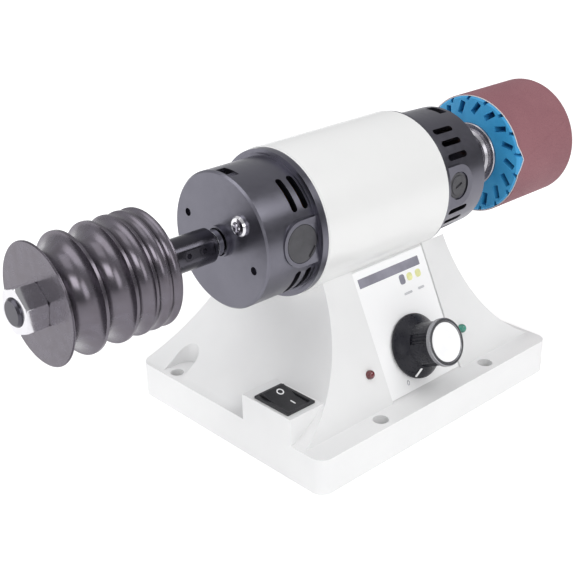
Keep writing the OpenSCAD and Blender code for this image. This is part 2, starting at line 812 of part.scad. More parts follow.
// Coil of round wire as one closed sweep
module coil(turns, r, wire, height, sides = 6, per_turn = 12) {
    rings = turns * per_turn;
    points = [for (k = [0:rings]) each coil_ring(k / rings, turns, r, wire, height, sides)];
    sleeves = [for (k = [0:rings - 1], i = [0:sides - 1]) let (j = (i + 1) % sides)
        [k * sides + i, k * sides + j, (k + 1) * sides + j, (k + 1) * sides + i]];
    ends = [[for (i = [sides - 1:-1:0]) i], [for (i = [0:sides - 1]) rings * sides + i]];
    polyhedron(points, concat(sleeves, ends), convexity = 10);
}

module brush_springs() color([0.75, 0.76, 0.78]) for (turn = [0, 180])
    radial(turn, pad_x[1], commutator_r + brush_gap + brush[2]) coil(5, spring[0], spring[1], spring[2]);

module brush_caps() color([0.22, 0.22, 0.23]) for (turn = [0, 180]) difference() {
    union() {
        radial(turn, pad_x[1], holder_out) cylinder(h = pad_out - holder_out, r = holder_r);
        radial(turn, pad_x[1], pad_out) cylinder(h = cap_flange, r = cap_flange_r);
        radial(turn, pad_x[1], pad_out) cylinder(h = cap_top, r = holder_r);
    }
    radial(turn, pad_x[1], pad_out + 0.1) rotate([0, 0, 20]) post(holder_r, 1.5, 3);
}

// ---------- rotor ----------

module motor_shaft() color([0.55, 0.56, 0.58]) turned() {
    band(0, shaft_r, shaft_x[0], shaft_x[1]);
    band(0, shaft_r + 2, bearing_x[0] + bearing_w, fan_x[0]);
    band(0, collar_r, arbor_x1, bell_x0 - 3.4);
}

module armature_core() color([0.42, 0.43, 0.45]) on_axis(core_x[0])
    linear_extrude(core_x[1] - core_x[0]) difference() {
        circle(core_r);
        circle(shaft_r);
        for (i = [0:poles - 1]) rotate(i * 360 / poles) {
            translate([coil_pitch, 0]) circle(coil_r + 0.2);
            translate([coil_pitch, -1.2]) square([10, 2.4]);
        }
    }

module armature_windings() color([0.72, 0.40, 0.18]) {
    for (x = [core_x[0] - head_x, core_x[1]]) turned() difference() {
        band(head_r[0], head_r[1], x, x + head_x);
        for (r = head_r, dx = [0, head_x]) translate([r, x + dx]) rotate(45) square(3, center = true);
    }
    for (i = [0:poles - 1]) on_axis(core_x[0] - 1) rotate([0, 0, i * 360 / poles])
        translate([coil_pitch, 0, 0]) cylinder(h = core_x[1] - core_x[0] + 2, r = coil_r, $fn = 24);
}

module commutator() color([0.75, 0.45, 0.25]) difference() {
    turned() {
        band(shaft_r, commutator_r, commutator_x[0], commutator_x[1]);
        band(shaft_r, commutator_r + riser[0], commutator_x[0] - riser[1], commutator_x[0]);
    }
    for (i = [0:poles * 2 - 1]) on_axis(commutator_x[0] + 0.01) rotate([0, 0, i * 180 / poles])
        translate([commutator_r - 1.2, -0.3, 0]) cube([3, 0.6, open_cut]);
}

module cooling_fan() color([0.20, 0.20, 0.22]) {
    turned() {
        band(shaft_r, fan_hub_r, fan_x[0], fan_x[1]);
        band(shaft_r, fan_r, fan_x[1] - blade_t, fan_x[1]);
    }
    for (i = [0:blades - 1]) on_axis(fan_x[0]) rotate([0, 0, i * 360 / blades])
        translate([fan_hub_r - 0.5, -blade_t / 2, 0])
            cube([fan_r - fan_hub_r - 0.2, blade_t, fan_x[1] - fan_x[0] - 1]);
}

// ---------- burnishing end ----------

module at_set_screws(x) translate([x, 0, axis_z]) rotate([-flat_angle, 0, 0]) rotate([90, 0, 0]) children();

module left_arbor() color([0.10, 0.10, 0.11]) difference() {
    turned() {
        polygon([[0, drum_x1], [arbor_r, drum_x1], [arbor_r, arbor_x1 - arbor_bevel],
            [arbor_r - arbor_bevel, arbor_x1], [0, arbor_x1]]);
        polygon([[0, stud_x0], [stud_r - 1.2, stud_x0], [stud_r, stud_x0 + 1.2], [stud_r, drum_x1 + 1],
            [0, drum_x1 + 1]]);
    }
    turned() band(0, shaft_r, shaft_x[0], arbor_x1 + 1);
    for (x = set_x) at_set_screws(x) cylinder(h = 12, r = set_r);
    at_set_screws((set_x[0] + set_x[1]) / 2) translate([0, 0, flat[2]]) post(flat[0], flat[1], 3);
}

// Set screw from radius r0 out to r1, with a hexagon socket
module hex_set_screw(x, r0, r1) difference() {
    at_set_screws(x) translate([0, 0, r0]) cylinder(h = r1 - r0, r = set_r);
    at_set_screws(x) translate([0, 0, r1 - set_socket[1]])
        cylinder(h = 2 * set_socket[1], r = set_socket[0], $fn = 6);
}

module left_set_screws() color([0.08, 0.08, 0.09]) for (x = set_x) hex_set_screw(x, shaft_r, set_top);

module burnishing_drum() color([0.13, 0.11, 0.11]) turned() difference() {
    union() {
        band(stud_r, drum_r - 0.5, drum_x0, drum_x1);
        band(stud_r, drum_r, drum_x0 + 0.5, drum_x1 - 0.5);
    }
    for (groove = GROOVES) {
        half = groove[1] / 2;
        deep = groove[2];
        r = (half * half + deep * deep) / (2 * deep);
        translate([drum_r - deep + r, drum_x0 + groove[0]]) circle(r, $fn = 120);
    }
}

module drum_nut() color("silver") difference() {
    on_axis(drum_x0 - nut_h) rotate([0, 0, 9]) hex_blank(nut_af, nut_h);
    on_axis(drum_x0 - nut_h - through) cylinder(h = nut_h + 2 * through, r = stud_r);
}

// ---------- sanding end ----------

module right_arbor() color([0.75, 0.76, 0.78]) difference() {
    turned() {
        polygon([[0, hub_x0], [hub_r[0] - 1, hub_x0], [hub_r[0], hub_x0 + 1], [hub_r[0], hub_step[0]],
            [hub_r[1], hub_step[1]], [hub_r[1], flange_x0], [0, flange_x0]]);
        difference() {
            polygon([[0, flange_x0], [flange_r - flange_bevel, flange_x0],
                [flange_r, flange_x0 + flange_bevel], [flange_r, wheel_x0 - inner_plate_t],
                [inner_plate_r - 0.6, wheel_x0 - inner_plate_t],
                [inner_plate_r, wheel_x0 - inner_plate_t + 0.6], [inner_plate_r, wheel_x0], [0, wheel_x0]]);
            band(flange_cup[0], flange_cup[1], flange_x0 - through, flange_x0 + flange_cup[2]);
        }
        polygon([[0, wheel_x0 - 1], [spindle_r, wheel_x0 - 1], [spindle_r, spindle_x1 - 1],
            [spindle_r - 1, spindle_x1], [0, spindle_x1]]);
    }
    turned() band(0, shaft_r, hub_x0 - 1, shaft_x[1]);
    for (x = right_set_x) at_set_screws(x) cylinder(h = 14, r = set_r);
}

module right_set_screws() color([0.08, 0.08, 0.09])
    for (x = right_set_x) hex_set_screw(x, shaft_r, right_set_top);

module wheel_core() color([0.60, 0.61, 0.63]) turned() band(spindle_r, core_wheel_r, wheel_x0, wheel_x1);

// Slots through the rubber wheel: one ring on its face and one open to its rim
module expander_wheel() color([0.16, 0.56, 0.80]) difference() {
    turned() difference() {
        band(core_wheel_r, wheel_r, wheel_x0, wheel_x1);
        for (x = [wheel_x0, wheel_x1]) translate([wheel_r, x]) rotate(45) square(1.7, center = true);
    }
    for (i = [0:wheel_slots - 1]) {
        wheel_slot(face_slot, i + slot_phase);
        wheel_slot(rim_slot, i + slot_phase + 0.5);
    }
}

// One leaning slot, at a place counted in slots round the wheel
module wheel_slot(size, place) on_axis(wheel_x0 - through)
    rotate([0, 0, place * 360 / wheel_slots]) translate([size[0], 0, 0])
        rotate([0, 0, slot_lean]) post(size[1], size[2], wheel_len + 2 * through);

// Its inner edge has a notch where the ends of the strip meet
module sanding_sleeve() color([0.52, 0.36, 0.38]) difference() {
    turned() band(wheel_r, wheel_r + sleeve_t, sleeve_x0, wheel_x1 - 0.2);
    radial(notch[0], sleeve_x0, wheel_r - 3) linear_extrude(6)
        polygon([[-1, -notch_side], [notch[2], 0], [-1, notch_side]]);
}

module outer_flange() color([0.75, 0.76, 0.78]) turned() difference() {
    band(spindle_r, flange_r, wheel_x1, wheel_x1 + outer_t);
    translate([flange_r, wheel_x1 + outer_t]) rotate(45) square(flange_bevel, center = true);
}

module wheel_nut() color("silver") difference() {
    on_axis(wheel_x1 + outer_t) hex_blank(wheel_nut_size[0], wheel_nut_size[1]);
    on_axis(wheel_x1) cylinder(h = open_cut, r = spindle_r);
}

// ---------- assembly ----------

base_housing();
bottom_cover();
cover_screws();
control_panel();
red_led();
green_led();
switch_frame();
switch_rocker();
switch_terminals();
speed_potentiometer();
potentiometer_nut();
potentiometer_shaft();
speed_knob();
knob_bezel();
knob_cap();
knob_pointer();
speed_board();
board_standoffs();
board_capacitor();
board_heatsink();
cable_gland();
gland_locknut();
motor_barrel();
barrel_screws();
field_magnets();
left_bell();
right_bell();
left_bell_plugs();
bell_face_screw();
tie_bolts();
tie_nuts();
left_bearing_outer();
right_bearing_outer();
left_bearing_inner();
right_bearing_inner();
bearing_balls();
brush_holders();
carbon_brushes();
brush_springs();
brush_caps();
motor_shaft();
armature_core();
armature_windings();
commutator();
cooling_fan();
left_arbor();
left_set_screws();
burnishing_drum();
drum_nut();
right_arbor();
right_set_screws();
wheel_core();
expander_wheel();
sanding_sleeve();
outer_flange();
wheel_nut();
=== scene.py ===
import json
import math

import bmesh
import bpy
from mathutils import Matrix, Vector


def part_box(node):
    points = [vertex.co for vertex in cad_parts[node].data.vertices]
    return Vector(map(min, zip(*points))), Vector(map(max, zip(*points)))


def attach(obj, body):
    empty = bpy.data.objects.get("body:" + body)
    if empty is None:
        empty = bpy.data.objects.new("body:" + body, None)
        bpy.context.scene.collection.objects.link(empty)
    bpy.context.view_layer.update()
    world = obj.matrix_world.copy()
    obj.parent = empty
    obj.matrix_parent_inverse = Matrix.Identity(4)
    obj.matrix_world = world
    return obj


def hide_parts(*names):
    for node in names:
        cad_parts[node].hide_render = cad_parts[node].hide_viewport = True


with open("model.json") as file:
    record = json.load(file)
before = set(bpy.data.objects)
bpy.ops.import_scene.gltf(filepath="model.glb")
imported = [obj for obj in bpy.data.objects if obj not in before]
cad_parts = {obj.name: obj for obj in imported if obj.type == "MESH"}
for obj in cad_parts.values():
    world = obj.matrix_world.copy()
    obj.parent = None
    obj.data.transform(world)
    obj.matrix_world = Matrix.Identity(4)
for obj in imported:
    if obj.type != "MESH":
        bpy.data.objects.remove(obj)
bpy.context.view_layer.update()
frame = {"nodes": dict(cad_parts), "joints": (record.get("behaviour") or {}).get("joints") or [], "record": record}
nodes = frame["nodes"]
MM = 0.001


# ---------- places taken from the frame ----------

joints = {j["name"]: j for j in frame["joints"]}
AXIS = Vector(joints["spindle_spin"]["pos_m"])
KNOB = Vector(joints["speed_knob_turn"]["pos_m"])
OUT = -Vector(joints["speed_knob_turn"]["axis"]).normalized()
UP_SLOPE = Vector((0, OUT.z, -OUT.y)).normalized()
ROCKER = Vector(joints["rocker_tilt"]["pos_m"])
PLATE_H = -0.8             # face of the label plate over the casting's own surface, in mm: it lies below it


def on_panel(across, up, h):
    """A point of the sloping panel: across and up from the knob's axis, and h out of the casting, in mm."""
    return KNOB + Vector((across * MM, 0, 0)) + UP_SLOPE * (up * MM) + OUT * (h * MM)


# ---------- materials ----------

TURNED_RATE = 4200         # of the ring wave on turned metal, in radians per metre: a ring every 1.5 mm
DRUM_RATE = 9000           # of the turning marks on the drum: one every 0.7 mm


class Look:
    """A principled material, with short calls for the procedural nodes that feed it."""

    def __init__(self, name, color, rough, metallic=0.0, **sockets):
        self.material = bpy.data.materials.new(name)
        self.material.use_nodes = True
        self.tree = self.material.node_tree
        self.shader = self.tree.nodes["Principled BSDF"]
        self.shader.inputs["Base Color"].default_value = (*color, 1)
        self.shader.inputs["Roughness"].default_value = rough
        self.shader.inputs["Metallic"].default_value = metallic
        for socket, value in sockets.items():
            self.shader.inputs[socket.replace("_", " ")].default_value = value
        self.coords = self.tree.nodes.new("ShaderNodeTexCoord").outputs["Object"]
        self.relief = None

    def node(self, kind, inputs=(), **settings):
        made = self.tree.nodes.new(kind)
        for key, value in settings.items():
            setattr(made, key, value)
        for key, value in dict(inputs).items():
            if isinstance(value, bpy.types.NodeSocket):
                self.tree.links.new(value, made.inputs[key])
            else:
                made.inputs[key].default_value = value
        return made

    def stretched(self, scale):
        """The object's coordinates, scaled along each axis."""
        return self.node("ShaderNodeMapping", {"Vector": self.coords, "Scale": scale}).outputs[0]

    def noise(self, scale, detail=3.0, rough=0.5, at=None):
        inputs = {"Vector": at or self.coords, "Scale": scale, "Detail": detail, "Roughness": rough}
        return self.node("ShaderNodeTexNoise", inputs).outputs["Fac"]

    def cells(self, scale):
        inputs = {"Vector": self.coords, "Scale": scale}
        return self.node("ShaderNodeTexVoronoi", inputs).outputs["Distance"]

    def wave(self, scale, distortion):
        inputs = {"Vector": self.coords, "Scale": scale, "Distortion": distortion}
        return self.node("ShaderNodeTexWave", inputs).outputs["Fac"]

    def along_x(self):
        return self.node("ShaderNodeSeparateXYZ", {0: self.coords}).outputs[0]

    def around_x(self, centre):
        """Distance from the line through centre along X, for marks that run round a turned part."""
        off = self.node("ShaderNodeVectorMath", {0: self.coords, 1: centre}, operation="SUBTRACT").outputs[0]
        flat = self.node("ShaderNodeVectorMath", {0: off, 1: (0, 1, 1)}, operation="MULTIPLY").outputs[0]
        return self.node("ShaderNodeVectorMath", {0: flat}, operation="LENGTH").outputs["Value"]

    def math(self, operation, a, b=0.0):
        return self.node("ShaderNodeMath", {0: a, 1: b}, operation=operation).outputs[0]

    def spread(self, value, low, high, frm=(0.35, 0.65)):
        """value, taken from the range frm to low..high."""
        inputs = {"Value": value, "From Min": frm[0], "From Max": frm[1], "To Min": low, "To Max": high}
        return self.node("ShaderNodeMapRange", inputs).outputs["Result"]

    def mix(self, a, b, factor):
        """Two colours mixed by factor. Each is a colour with alpha, or a socket."""
        return self.node("ShaderNodeMix", {0: factor, 6: a, 7: b}, data_type="RGBA").outputs[2]

    def color(self, a, b, factor):
        """The base colour goes from a to b with factor."""
        self.tree.links.new(self.mix((*a, 1), (*b, 1), factor), self.shader.inputs["Base Color"])
        return self

    def over(self, color, factor):
        """Lays another colour over the one that already feeds the base colour."""
        base = self.shader.inputs["Base Color"]
        self.tree.links.new(self.mix(base.links[0].from_socket, (*color, 1), factor), base)
        return self

    def roughness(self, value):
        self.tree.links.new(value, self.shader.inputs["Roughness"])
        return self

    def bump(self, height, strength, depth):
        """Adds relief of that depth, in metres, to what relief there is."""
        inputs = {"Height": height, "Strength": strength, "Distance": depth}
        if self.relief is not None:
            inputs["Normal"] = self.relief
        self.relief = self.node("ShaderNodeBump", inputs).outputs[0]
        self.tree.links.new(self.relief, self.shader.inputs["Normal"])
        return self


def paint(name, light, dark, rough, coat, metallic=0.0, grain=0, peel=0.0):
    """Sprayed paint with faint clouds of colour. grain and peel add the fine relief of a sprayed film."""
    look = Look(name, light, rough, metallic, Coat_Weight=coat, Coat_Roughness=0.18)
    look.color(dark, light, look.spread(look.noise(38, 4), 0, 1))
    if peel:
        look.roughness(look.spread(look.noise(260, 3), rough - 0.03, rough + 0.04))
        look.bump(look.noise(grain, 2), 0.10 * peel, 0.00004)
    return look


def plastic(name, color, rough, grain=1800, relief=0.00004, **sockets):
    """Moulded plastic with a fine spark-eroded grain."""
    look = Look(name, color, rough, **sockets)
    lighter = tuple(min(1, c * 1.25 + 0.004) for c in color)
    look.color(color, lighter, look.spread(look.noise(120, 4), 0, 1))
    look.roughness(look.spread(look.noise(500, 3), rough - 0.06, rough + 0.08))
    return look.bump(look.noise(grain, 2), 0.3, relief)


def metal(name, color, rough, scale=(900, 60, 60), relief=0.00003):
    """Bare metal with fine marks. They are close together along X, so they run across it."""
    look = Look(name, color, rough, 1.0)
    darker = tuple(c * 0.88 for c in color)
    brushed = look.noise(1, 4, 0.6, look.stretched(scale))
    look.color(darker, color, look.spread(brushed, 0, 1))
    look.roughness(look.spread(brushed, rough - 0.06, rough + 0.1))
    return look.bump(brushed, 0.35, relief)


def fine_rings(look, distance, rate):
    """A wave that repeats along distance, at that many radians per metre."""
    return look.math("SINE", look.math("MULTIPLY", distance, rate))


def turned_metal(name, color, rough, relief=0.00002):
    """Metal turned on the lathe: fine rings round the spindle axis."""
    look = Look(name, color, rough, 1.0)
    radius = look.around_x(AXIS)
    rings = fine_rings(look, look.math("ADD", radius, look.along_x()), TURNED_RATE)
    cloud = look.noise(140, 4)
    look.color(tuple(c * 0.96 for c in color), color, look.spread(cloud, 0, 1))
    look.roughness(look.spread(cloud, rough - 0.015, rough + 0.025))
    return look.bump(rings, 0.06, relief)


def drum_look():
    """The polished drum: near-black and glossy, with a faint grain along X and very fine turning marks."""
    look = Look("drum_ebony", (0.150, 0.138, 0.162), 0.26, 0.95)
    grain = look.noise(1, 4, 0.5, look.stretched((14, 160, 160)))
    look.color((0.136, 0.122, 0.141), (0.162, 0.149, 0.175), look.spread(grain, 0, 1, (0.3, 0.72)))
    look.roughness(look.spread(grain, 0.25, 0.28))
    return look.bump(fine_rings(look, look.along_x(), DRUM_RATE), 0.03, 0.000003)


def rubber_look():
    """Blue rubber with a fine grain and a slight unevenness under it."""
    look = Look("blue_rubber", (0.04, 0.34, 0.66), 0.50, Specular_IOR_Level=0.45)
    look.color((0.032, 0.29, 0.58), (0.052, 0.36, 0.68), look.spread(look.noise(55, 5), 0, 1))
    look.roughness(look.spread(look.noise(300, 4), 0.42, 0.58))
    look.bump(look.noise(900, 3), 0.25, 0.00006)
    return look.bump(look.noise(60, 2), 0.10, 0.0003)


def abrasive_look():
    """Aluminium oxide grit in a red-brown bond, with pale and dark grains."""
    look = Look("abrasive_grit", (0.27, 0.115, 0.135), 0.74, Specular_IOR_Level=0.4)
    grit = look.cells(2600)
    patch = look.noise(24, 3)
    look.color((0.245, 0.100, 0.118), (0.285, 0.122, 0.140), look.spread(patch, 0, 1))
    look.over((0.40, 0.22, 0.23), look.spread(look.noise(2400, 2), 0, 0.6, (0.58, 0.74)))
    look.over((0.12, 0.04, 0.05), look.spread(look.noise(1700, 2), 0.6, 0, (0.26, 0.42)))
    look.roughness(look.spread(look.noise(2600, 1), 0.6, 0.85))
    return look.bump(grit, 0.55, 0.00016)


def cloth_look():
    """Woven cotton backing of the sleeve."""
    look = Look("sleeve_cloth", (0.80, 0.78, 0.78), 0.9)
    threads = look.wave(700.0, 0.6)
    look.color((0.70, 0.67, 0.67), (0.88, 0.86, 0.87), look.spread(threads, 0, 1, (0, 1)))
    return look.bump(threads, 0.6, 0.0001)


def lens_look(name, color, glow):
    """The coloured plastic of a lamp that is off: a glossy body with lighter clouds."""
    look = Look(name, color, 0.12, Coat_Weight=1.0, Coat_Roughness=0.03, IOR=1.49)
    look.color(color, glow, look.spread(look.noise(420, 3), 0, 1))
    return look.bump(look.noise(700, 2), 0.1, 0.00005)


def board_look():
    """A green circuit board. The lines between the bricks of the pattern are its tracks."""
    look = Look("circuit_board", (0.03, 0.20, 0.07), 0.35, Coat_Weight=0.5)
    inputs = {"Vector": look.coords, "Scale": 160.0, "Mortar Size": 0.05}
    tracks = look.node("ShaderNodeTexBrick", inputs).outputs["Fac"]
    look.color((0.02, 0.15, 0.05), (0.05, 0.28, 0.10), tracks)
    return look.bump(tracks, 0.3, 0.00004)


def winding_look():
    """Enamelled copper wire, laid turn beside turn."""
    look = Look("copper_wire", (0.62, 0.24, 0.08), 0.28, 0.9, Coat_Weight=0.6)
    turns = look.wave(260.0, 2.0)
    look.color((0.36, 0.11, 0.035), (0.72, 0.30, 0.10), turns)
    return look.bump(turns, 0.8, 0.0003)


LOOKS = {
    "white_casting": paint("white_casting", (0.820, 0.820, 0.820), (0.802, 0.802, 0.803), 0.42, 0.10,
                           grain=700, peel=0.5),
    "barrel_paint": paint("barrel_paint", (0.815, 0.815, 0.808), (0.805, 0.805, 0.798), 0.28, 0.35),
    "bell_black": paint("bell_black", (0.175, 0.172, 0.203), (0.160, 0.157, 0.187), 0.31, 0.0,
                        metallic=1.0, grain=2100, peel=0.3),
    "label_white": paint("label_white", (0.975, 0.975, 0.98), (0.965, 0.965, 0.97), 0.30, 0.1),
    "red_lens": lens_look("red_lens", (0.085, 0.004, 0.008), (0.15, 0.008, 0.014)),
    "green_lens": lens_look("green_lens", (0.015, 0.16, 0.11), (0.03, 0.28, 0.20)),
    "switch_black": plastic("switch_black", (0.018, 0.018, 0.021), 0.38),
    "knob_black": plastic("knob_black", (0.008, 0.008, 0.013), 0.30, 900, 0.000004, Specular_IOR_Level=0.30),
    "chrome": turned_metal("chrome", (0.74, 0.73, 0.76), 0.10, 0.000002),
    "silver_cap": plastic("silver_cap", (0.93, 0.93, 0.94), 0.36, 900, 0.000004),
    "pointer_white": plastic("pointer_white", (0.86, 0.86, 0.86), 0.45),
    "zinc_steel": turned_metal("zinc_steel", (0.44, 0.43, 0.46), 0.25),
    "bearing_steel": turned_metal("bearing_steel", (0.38, 0.38, 0.41), 0.20),
    "black_steel": turned_metal("black_steel", (0.080, 0.077, 0.092), 0.20),
    "core_steel": metal("core_steel", (0.30, 0.30, 0.32), 0.45, (2600, 40, 40), 0.00006),
    "magnet": plastic("magnet", (0.06, 0.06, 0.065), 0.7, 900, 0.0001),
    "copper": winding_look(),
    "brass": metal("brass", (0.72, 0.52, 0.22), 0.3),
    "carbon": plastic("carbon", (0.03, 0.03, 0.032), 0.6, 1400, 0.00008),
    "board_green": board_look(),
    "nylon": plastic("nylon", (0.74, 0.73, 0.68), 0.55),
    "capacitor_sleeve": plastic("capacitor_sleeve", (0.03, 0.05, 0.16), 0.25),
    "bare_aluminium": turned_metal("bare_aluminium", (0.70, 0.71, 0.72), 0.30),
    "black_nylon": plastic("black_nylon", (0.045, 0.044, 0.050), 0.42),
    "drum_ebony": drum_look(),
    "blue_rubber": rubber_look(),
    "abrasive": abrasive_look(),
}
CLOTH = cloth_look()
BEZEL = turned_metal("bezel_metal", (0.34, 0.34, 0.36), 0.22, 0.000002)
PRINT = plastic("label_print", (0.235, 0.230, 0.275), 0.45)
PRINT_PALE = plastic("label_print_pale", (0.50, 0.50, 0.52), 0.45)
PRINT_YELLOW = plastic("label_print_yellow", (0.74, 0.74, 0.36), 0.45)
MARK_WHITE = plastic("mark_white", (0.82, 0.82, 0.83), 0.5)


# ---------- the CAD nodes: their materials and softened edges ----------

WELD_GAP = 0.002 * MM
SMOOTH_UP_TO = math.radians(28)        # a sharper fold than this stays a hard edge
PLANE_ANGLE = math.radians(0.2)        # flatter neighbours than this become one face
BEVEL_FROM = math.radians(32)          # a sharper fold than this gets a softened edge
USUAL_EDGE = 0.15                      # width of a softened edge, in mm
WIDE_EDGE = 0.25                       # a wider one is rounded in three steps, others in two


def weld_group():
    """Joins the faces of an imported solid, and shades it smooth up to its real edges."""
    group = bpy.data.node_groups.new("weld_and_shade", "GeometryNodeTree")
    group.interface.new_socket("Geometry", in_out="INPUT", socket_type="NodeSocketGeometry")
    group.interface.new_socket("Geometry", in_out="OUTPUT", socket_type="NodeSocketGeometry")
    new, link = group.nodes.new, group.links.new
    forget = new("GeometryNodeRemoveAttribute")
    forget.inputs["Name"].default_value = "custom_normal"
    merge = new("GeometryNodeMergeByDistance")
    merge.inputs["Distance"].default_value = WELD_GAP
    smooth = new("GeometryNodeSetShadeSmooth")
    sharp = new("GeometryNodeSetShadeSmooth")
    sharp.domain = "EDGE"
    below = new("FunctionNodeCompare")
    below.operation = "LESS_THAN"
    below.inputs[1].default_value = SMOOTH_UP_TO
    link(new("NodeGroupInput").outputs[0], forget.inputs["Geometry"])
    link(forget.outputs[0], merge.inputs["Geometry"])
    link(merge.outputs[0], smooth.inputs["Geometry"])
    link(smooth.outputs[0], sharp.inputs["Geometry"])
    link(new("GeometryNodeInputMeshEdgeAngle").outputs["Unsigned Angle"], below.inputs[0])
    link(below.outputs[0], sharp.inputs["Shade Smooth"])
    link(sharp.outputs[0], new("NodeGroupOutput").inputs[0])
    return group


WELD = weld_group()
EDGE = {                               # widths for the nodes that need another one; 0 leaves the edges hard
    "base_housing": 1.0, "left_bell": 0.45, "right_bell": 0.45, "motor_barrel": 0.5,
    "burnishing_drum": 0.12, "expander_wheel": 0.35, "switch_frame": 0.4, "switch_rocker": 0.5,
    "speed_knob": 0.35, "drum_nut": 0.3, "left_arbor": 0.3, "right_arbor": 0.3, "outer_flange": 0.4,
    "cable_gland": 0.4, "brush_caps": 0.3, "left_bell_plugs": 0, "knob_pointer": 0.08, "bottom_cover": 0.3,
}
SLOT = {row["node"]: row["material_slot"] for row in frame["record"]["subparts"]}


def round_edges(piece, width, segments, angle):
    """Softens the folds that are sharper than angle. Returns the modifier."""
    edges = piece.modifiers.new("edges", "BEVEL")
    edges.width = width * MM
    edges.segments = segments
    edges.limit_method = "ANGLE"
    edges.angle_limit = angle
    return edges


def soften(piece, width):
    """Joins and cleans the faces of an imported solid, and softens its edges."""
    piece.modifiers.new("weld", "NODES").node_group = WELD
    planes = piece.modifiers.new("planes", "DECIMATE")
    planes.decimate_type = "DISSOLVE"
    planes.angle_limit = PLANE_ANGLE
    if width:
        segments = 3 if width > WIDE_EDGE else 2
        round_edges(piece, width, segments, BEVEL_FROM).harden_normals = True


for name, piece in nodes.items():
    piece.data.materials.clear()
    piece.data.materials.append(LOOKS[SLOT[name]].material)
    for face in piece.data.polygons:
        face.material_index = 0
    soften(piece, EDGE.get(name, USUAL_EDGE))


# ---------- new pieces ----------

def new_piece(name, mesh, look, body):
    """Puts a mesh in the scene as a piece that moves with body."""
    obj = bpy.data.objects.new(name, mesh)
    bpy.context.scene.collection.objects.link(obj)
    mesh.materials.append(look.material)
    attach(obj, body)
    return obj


def mesh_from(name, build):
    """The mesh that build(bm) makes."""
    bm = bmesh.new()
    build(bm)
    bmesh.ops.recalc_face_normals(bm, faces=bm.faces)
    mesh = bpy.data.meshes.new(name)
    bm.to_mesh(mesh)
    bm.free()
    return mesh


def slab(bm, outline, place, thick):
    """A thin plate. outline holds (across, up) in mm, and place turns (across, up, height) into a point."""
    low = [bm.verts.new(place(x, y, 0)) for x, y in outline]
    high = [bm.verts.new(place(x, y, thick)) for x, y in outline]
    bm.faces.new(high)
    bm.faces.new(list(reversed(low)))
    count = len(outline)
    for i in range(count):
        j = (i + 1) % count
        bm.faces.new((low[i], low[j], high[j], high[i]))


def round_box(cx, cy, w, h, r, steps=5):
    """Outline of a rectangle with round corners."""
    points = []
    for quarter, (sx, sy) in enumerate(((1, 1), (-1, 1), (-1, -1), (1, -1))):
        for k in range(steps + 1):
            a = math.radians(90 * quarter + 90 * k / steps)
            x = cx + sx * (w / 2 - r) + r * math.cos(a)
            y = cy + sy * (h / 2 - r) + r * math.sin(a)
            points.append((x, y))
    return points


def ring_slab(bm, cx, cy, outer, inner, place, thick, stretch=1.0, steps=40):
    """A flat ring. A stretch above 1 makes it an oval, longer along the second axis."""
    loops = []
    for radius, level in ((outer, 0), (outer, thick), (inner, thick), (inner, 0)):
        tall = radius + (stretch - 1) * outer
        loop = []
        for k in range(steps):
            turn = 2 * math.pi * k / steps
            loop.append(bm.verts.new(place(cx + radius * math.cos(turn), cy + tall * math.sin(turn), level)))
        loops.append(loop)
    for a in range(4):
        b = (a + 1) % 4
        for k in range(steps):
            n = (k + 1) % steps
            bm.faces.new((loops[a][k], loops[a][n], loops[b][n], loops[b][k]))


PRINT_T = 0.05             # thickness of a printed mark, in mm
PRINT_GAP = 0.002          # between the print and the label, so that they don't share a face


def on_plate(across, up, h):
    return on_panel(across, up, PLATE_H + PRINT_GAP + h)


def label_prints():
    """Plain printed marks on the label: a blank title bar, blank signs, two ruled lines and a dial's zero."""
    def boxes(*outlines):
        def build(bm):
            for outline in outlines:
                slab(bm, round_box(*outline), on_plate, PRINT_T)
        return build

    def zero(bm):
        ring_slab(bm, -14.6, -19.9, 1.1, 0.7, on_plate, PRINT_T, 1.5)

    prints = (          # each box: its centre across and up, width, height and corner radius, in mm
        ("title_bar", boxes((-1.2, 50.6, 56.6, 6.0, 0.4)), PRINT),
        ("grey_sign", boxes((7.7, 42.8, 5.0, 6.4, 1.6)), PRINT),
        ("pale_signs", boxes((14.8, 42.8, 5.2, 5.2, 2.0), (23.0, 42.8, 5.2, 5.2, 2.0)), PRINT_YELLOW),
        ("ruled_lines", boxes((9.5, 33.2, 7.6, 1.6, 0.7), (22.0, 33.2, 6.0, 1.6, 0.7)), PRINT_PALE),
        ("dial_zero", zero, PRINT),
    )
    for name, build, look in prints:
        new_piece(name, mesh_from(name, build), look, "base")


def rocker_marks():
    """The ring and the stroke of a rocker switch, one on each facet."""
    tilt = math.radians(11)        # of the rocker at rest
    facet = math.radians(8)        # each facet rises this much from the rocker's middle
    middle = 4.4                   # height of the rocker's middle over its pivot, in mm
    gap, thick = 0.01, 0.12

    def on_facet(side):
        def place(across, along, h):
            s = side * along
            level = middle + along * math.tan(facet) + h + gap
            y = s * math.cos(tilt) - level * math.sin(tilt)
            z = s * math.sin(tilt) + level * math.cos(tilt)
            return ROCKER + Vector((across, y, z)) * MM
        return place

    def ring(bm):
        ring_slab(bm, 1.8, 6.8, 2.4, 1.6, on_facet(1), thick)

    def stroke(bm):
        slab(bm, round_box(1.8, 4.6, 0.9, 4.4, 0.4), on_facet(-1), thick)

    for name, build in (("rocker_ring_mark", ring), ("rocker_stroke_mark", stroke)):
        new_piece(name, mesh_from(name, build), MARK_WHITE, "rocker")


